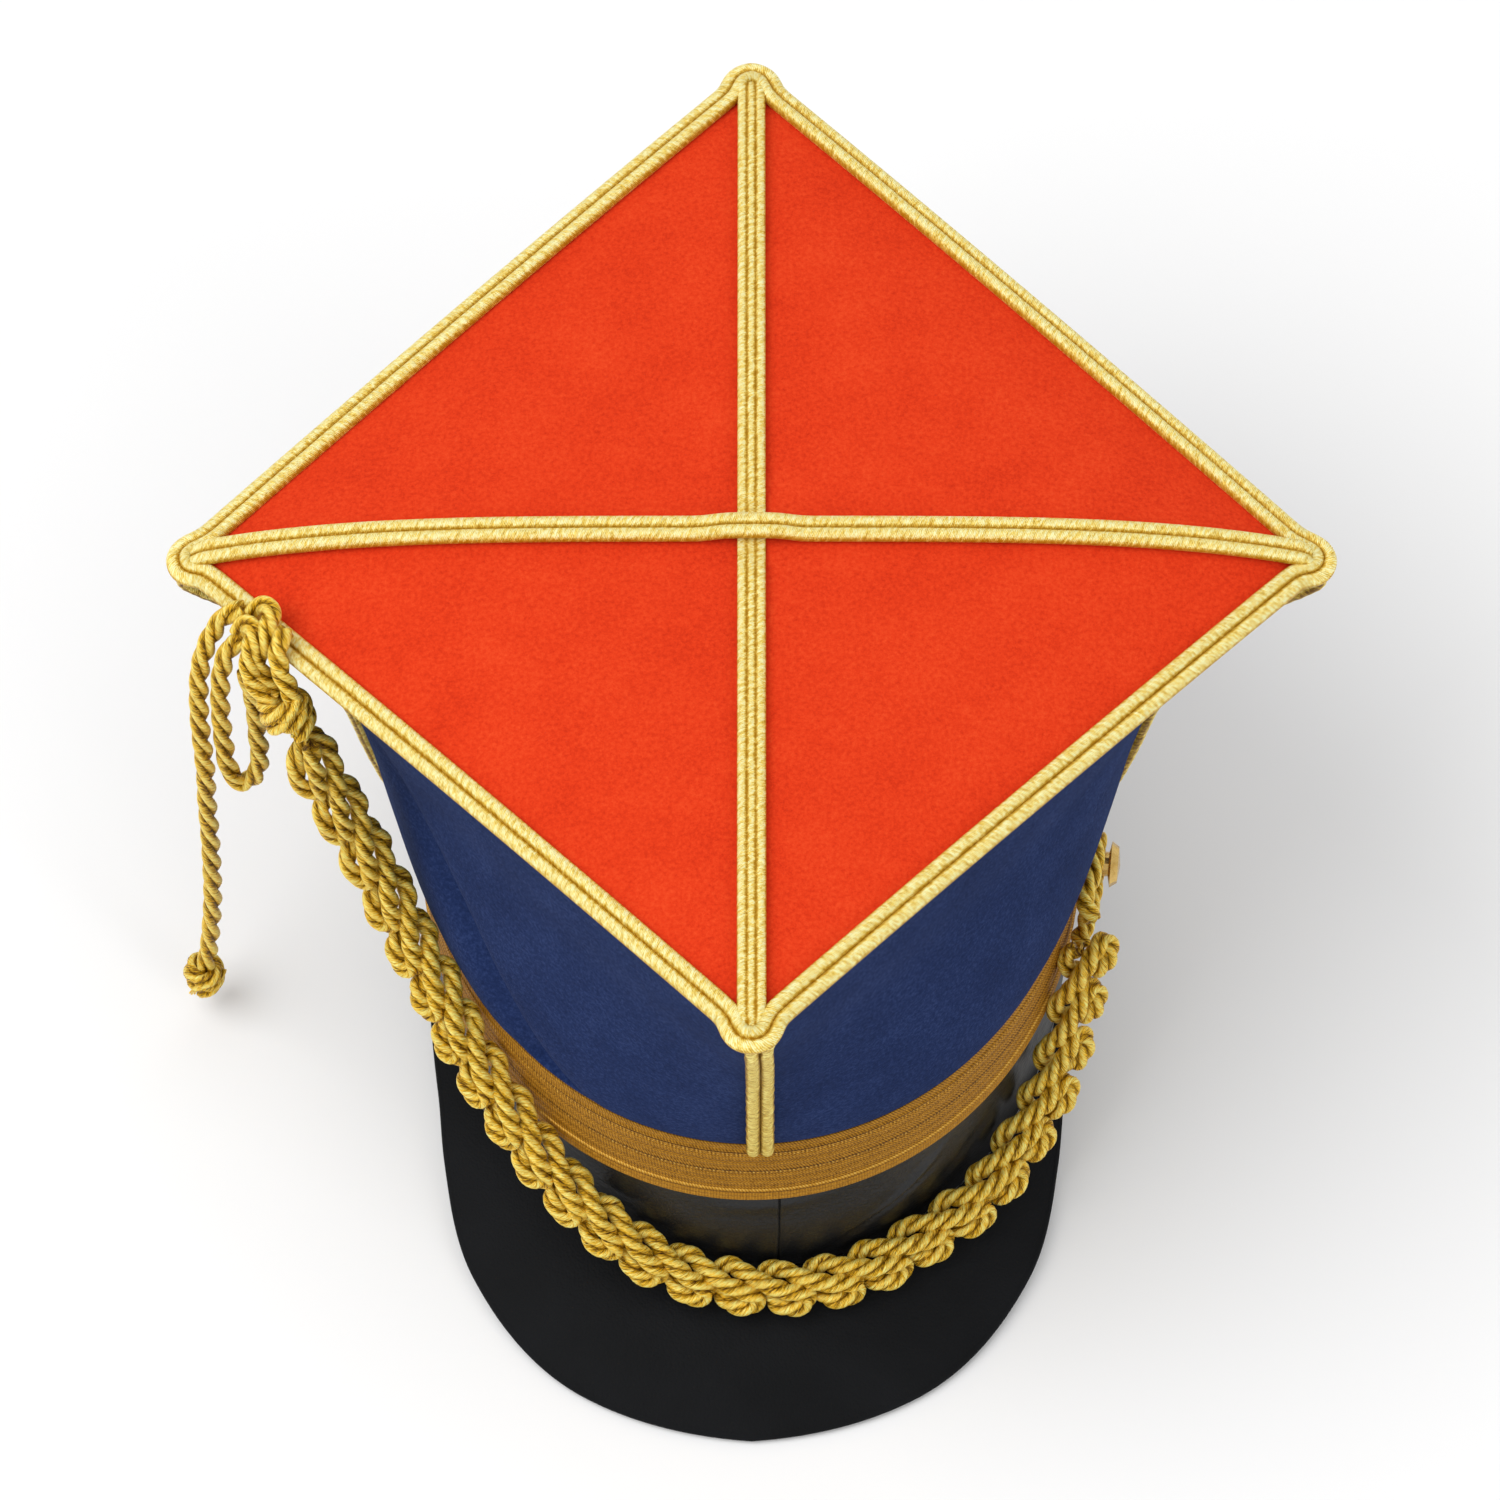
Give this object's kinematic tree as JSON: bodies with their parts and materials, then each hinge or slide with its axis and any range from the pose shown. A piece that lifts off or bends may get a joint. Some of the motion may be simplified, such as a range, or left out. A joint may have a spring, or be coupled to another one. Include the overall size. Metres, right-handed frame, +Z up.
{
  "type": "square-topped lancer cap",
  "caption": "Square-topped dress cap with a flaring cloth body, leather band and visor, woven gold band, gold cord edging and a hung plaited festoon.",
  "frame": {"origin": "on the surface that the cap stands on, below the middle of the cap's box without its hanging cords", "axes": "+Z up from the surface, visor towards -Y, wearer's left towards +X"},
  "size_m": [0.3132, 0.3188, 0.2302],
  "materials": {
    "red_felt": "dense matt wool felt",
    "blue_felt": "dense matt wool felt",
    "galloon": "woven metallic thread, soft sheen",
    "black_leather": "smooth, soft sheen",
    "visor_leather": "fine grain, soft sheen",
    "gold_braid": "metallic thread wound over two cores",
    "twisted_cord": "metallic thread, two-strand twist",
    "brass_hook": "polished"
  },
  "bodies": {
    "root": {"crown_top": "red_felt", "crown_panel_back_right": "blue_felt", "crown_panel_back_left": "blue_felt", "crown_panel_front_left": "blue_felt", "crown_panel_front_right": "blue_felt", "gold_band": "galloon", "leather_band": "black_leather", "visor": "visor_leather", "rim_cord": "gold_braid", "cross_cord_side": "gold_braid", "cross_cord_front": "gold_braid", "edge_cord_right": "gold_braid", "edge_cord_back": "gold_braid", "edge_cord_left": "gold_braid", "edge_cord_front": "gold_braid", "cord_hook": "brass_hook", "corner_knot": "twisted_cord", "festoon_plait": "twisted_cord", "hook_loop": "twisted_cord", "hanging_loop": "twisted_cord", "hanging_cord": "twisted_cord", "cord_end_knot": "twisted_cord"}
  },
  "joints": []
}
